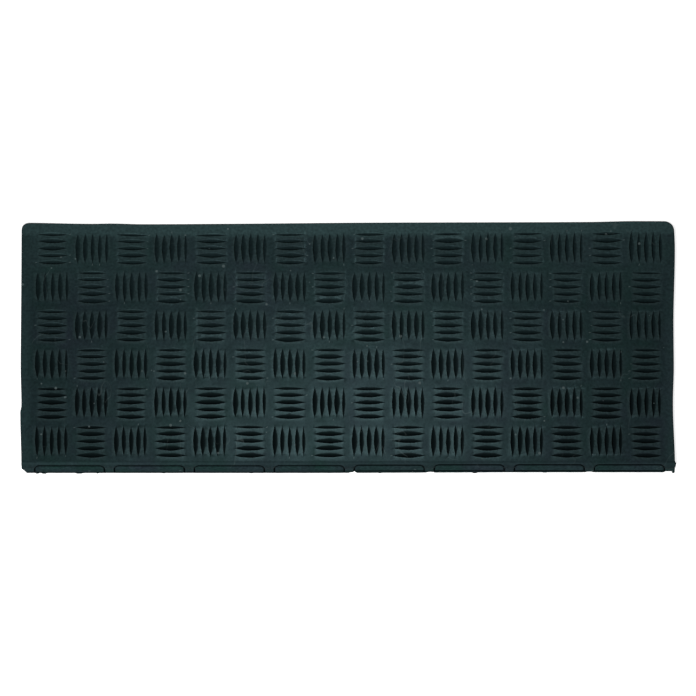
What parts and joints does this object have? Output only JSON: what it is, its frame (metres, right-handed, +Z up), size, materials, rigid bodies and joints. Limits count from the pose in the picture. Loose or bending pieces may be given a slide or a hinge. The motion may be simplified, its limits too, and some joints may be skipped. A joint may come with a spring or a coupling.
{
  "type": "stair tread door mat",
  "caption": "Flat rubber mat for a doorstep or stair tread, with a chequered tread of lens-shaped grooves, a rounded nose and a short grip lip that hangs over the step's edge.",
  "frame": {"origin": "middle of the tread sheet's flat underside, which lies on the step", "axes": "+X along the step's edge, +Y towards the back of the step, +Z up out of the tread; the nose and lip are at -Y"},
  "size_m": [0.65, 0.25, 0.025],
  "materials": {
    "tread_rubber": "satin moulded rubber, greenish black",
    "nosing_rubber": "satin moulded rubber, greenish black",
    "pad_rubber": "satin moulded rubber, greenish black"
  },
  "bodies": {
    "root": {"tread_sheet": "tread_rubber", "nosing_bend": "nosing_rubber", "nosing_lip": "nosing_rubber", "nosing_pad_1": "pad_rubber", "nosing_pad_2": "pad_rubber", "nosing_pad_3": "pad_rubber", "nosing_pad_4": "pad_rubber", "nosing_pad_5": "pad_rubber", "nosing_pad_6": "pad_rubber", "nosing_pad_7": "pad_rubber", "nosing_pad_8": "pad_rubber"}
  },
  "joints": []
}
